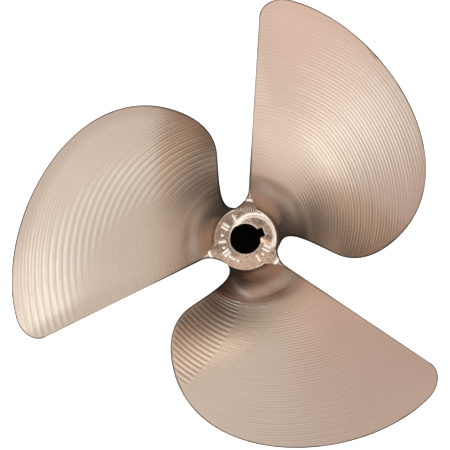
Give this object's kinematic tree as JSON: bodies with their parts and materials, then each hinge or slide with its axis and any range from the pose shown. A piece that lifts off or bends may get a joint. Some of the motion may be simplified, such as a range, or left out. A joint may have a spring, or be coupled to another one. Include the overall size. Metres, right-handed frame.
{
  "type": "boat propeller",
  "caption": "Right-hand bronze boat propeller with machined broad blades on a hub with a keyed taper bore, for an inboard shaft drive.",
  "frame": {"origin": "centre of the taper bore at the forward hub face, where the bore is largest", "axes": "+Z along the shaft axis from the forward hub face to the aft face, so that the driving faces of the blades look towards +Z; +X is 86.3 degrees clockwise, seen from aft, of the first blade's trailing edge"},
  "size_m": [0.2907, 0.3074, 0.0925],
  "materials": {
    "blade_bronze": "nickel-aluminium bronze, milled in fine arc-shaped scallops, satin",
    "hub_bronze": "nickel-aluminium bronze, turned and blasted, with stamped marks"
  },
  "bodies": {
    "root": {"hub": "hub_bronze", "blade_1": "blade_bronze", "blade_2": "blade_bronze", "blade_3": "blade_bronze"}
  },
  "joints": []
}
